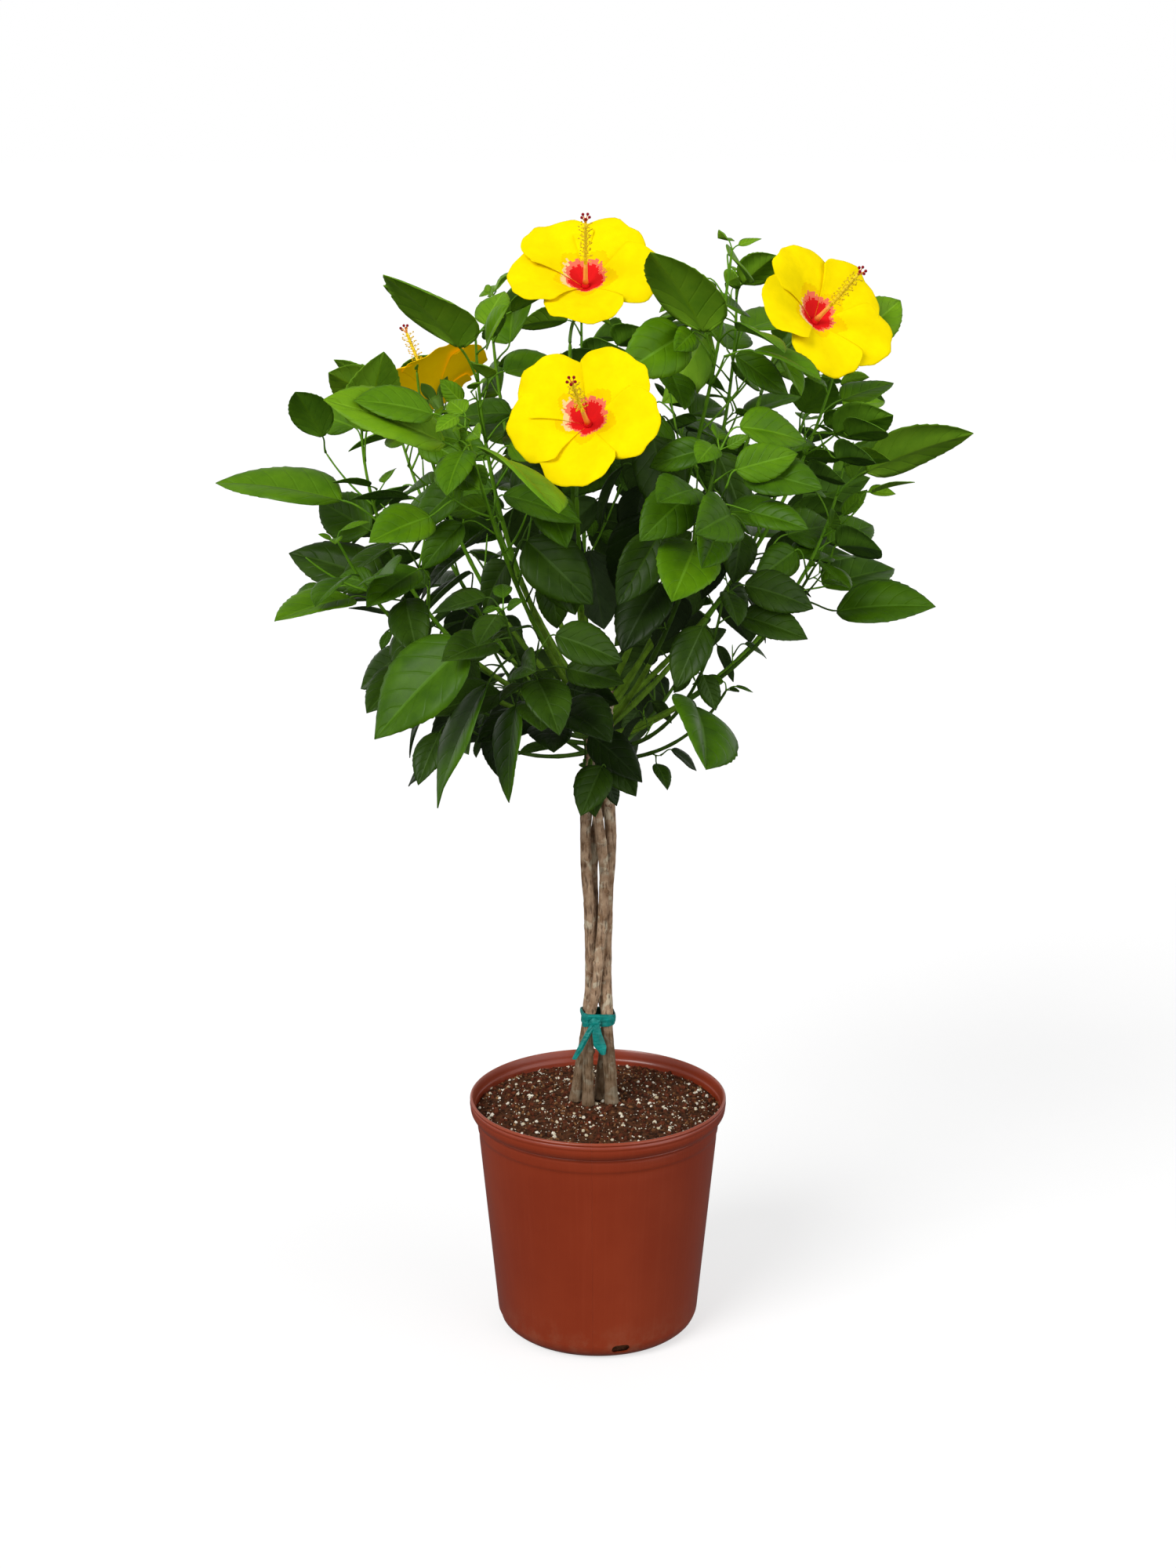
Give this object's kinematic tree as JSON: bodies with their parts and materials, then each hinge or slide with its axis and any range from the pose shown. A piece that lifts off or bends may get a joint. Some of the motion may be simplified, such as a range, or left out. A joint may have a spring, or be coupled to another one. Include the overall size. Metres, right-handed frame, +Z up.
{
  "type": "potted hibiscus standard",
  "caption": "Hibiscus grown as a small tree: braided bare stems in a tapered nursery pot carry a round, open crown of glossy leaves with wide five-petalled blooms.",
  "frame": {"origin": "centre of the pot's flat underside, where the mount base is", "axes": "+Z up along the stems, +X to the right as seen from the show side, -Y towards the show side"},
  "size_m": [0.7021, 0.6986, 1.0915],
  "materials": {
    "pot": "semi-gloss moulded polypropylene",
    "soil": "loose bark and peat mix with perlite",
    "tie": "stretch vinyl tape",
    "bark": "grey-brown fissured bark",
    "bough": "smooth green bark",
    "foliage": "glossy leaves",
    "bloom": "soft velvety petals"
  },
  "bodies": {
    "root": {"pot": "pot", "soil": "soil", "trunk_stem_1": "bark", "trunk_stem_2": "bark", "trunk_stem_3": "bark", "trunk_stem_4": "bark", "tie_tape": "tie", "bough_far_left": "bough", "foliage_far_left": "foliage", "bough_left_mid": "bough", "foliage_left_mid": "foliage", "bough_front_left": "bough", "foliage_front_left": "foliage", "foliage_left_low": "foliage", "foliage_left_hang": "foliage", "bough_left_top": "bough", "foliage_left_top": "foliage", "bough_left_back": "bough", "foliage_left_back": "foliage", "bough_leafy_top": "bough", "foliage_leafy_top": "foliage", "bough_right_top": "bough", "foliage_right_top": "foliage", "bough_right_gap": "bough", "foliage_right_gap": "foliage", "bough_far_right": "bough", "foliage_far_right": "foliage", "bough_right_mid": "bough", "foliage_right_mid": "foliage", "foliage_right_low": "foliage", "bough_front_mid_left": "bough", "foliage_front_mid_left": "foliage", "bough_front_mid_right": "bough", "foliage_front_mid_right": "foliage", "foliage_front_low_left": "foliage", "foliage_front_low_right": "foliage", "foliage_front_low": "foliage", "bough_back_left": "bough", "foliage_back_left": "foliage", "bough_back": "bough", "foliage_back": "foliage", "bough_back_right": "bough", "foliage_back_right": "foliage", "foliage_back_low_left": "foliage", "foliage_back_low_right": "foliage", "bough_bloom_top": "bough", "bloom_top": "bloom", "bough_bloom_front": "bough", "bloom_front": "bloom", "bough_bloom_right": "bough", "bloom_right": "bloom", "bough_bloom_rear": "bough", "bloom_rear": "bloom"}
  },
  "joints": []
}
